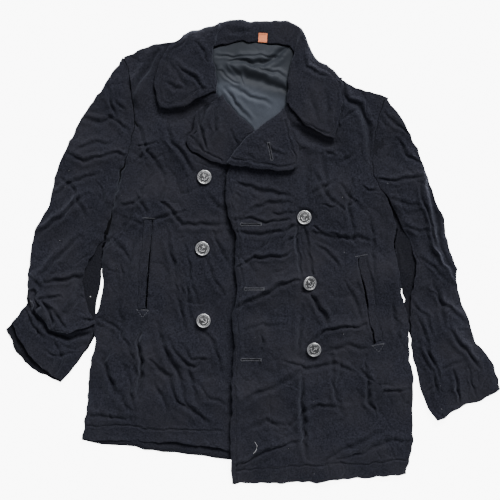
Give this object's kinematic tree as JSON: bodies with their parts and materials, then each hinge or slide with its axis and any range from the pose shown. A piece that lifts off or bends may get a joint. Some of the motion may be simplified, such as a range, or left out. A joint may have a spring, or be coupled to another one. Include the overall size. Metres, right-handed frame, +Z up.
{
  "type": "pea coat",
  "caption": "Double-breasted pea coat laid out flat on its back, unbuttoned, with a wide collar, notched lapels, slanted welt pockets and shank buttons.",
  "frame": {"origin": "under the middle of the whole spread-out coat, on the surface that it lies on", "axes": "+X across the coat towards the wearer's left sleeve, +Y up the coat towards the collar, +Z up from the surface that it lies on"},
  "size_m": [0.888, 0.8344, 0.0252],
  "materials": {
    "melton": "dense felted dark navy wool with a short brushed nap",
    "satin_lining": "slate blue satin with a soft sheen",
    "pewter": "satin cast metal, darker in the hollows",
    "tab_ribbon": "woven orange ribbon"
  },
  "bodies": {
    "root": {"back_right": "melton", "back_left": "melton", "lining_neck": "satin_lining", "front_right": "melton", "lapel_right": "melton", "facing_right": "melton", "front_left": "melton", "lapel_left": "melton", "facing_left": "melton", "sleeve_under_right": "melton", "sleeve_top_right": "melton", "sleeve_under_left": "melton", "sleeve_top_left": "melton", "collar_under": "melton", "collar_upper": "melton", "pocket_welt_right": "melton", "pocket_welt_left": "melton", "button_1": "pewter", "button_2": "pewter", "button_3": "pewter", "button_4": "pewter", "button_5": "pewter", "button_6": "pewter", "neck_tab": "tab_ribbon"}
  },
  "joints": []
}
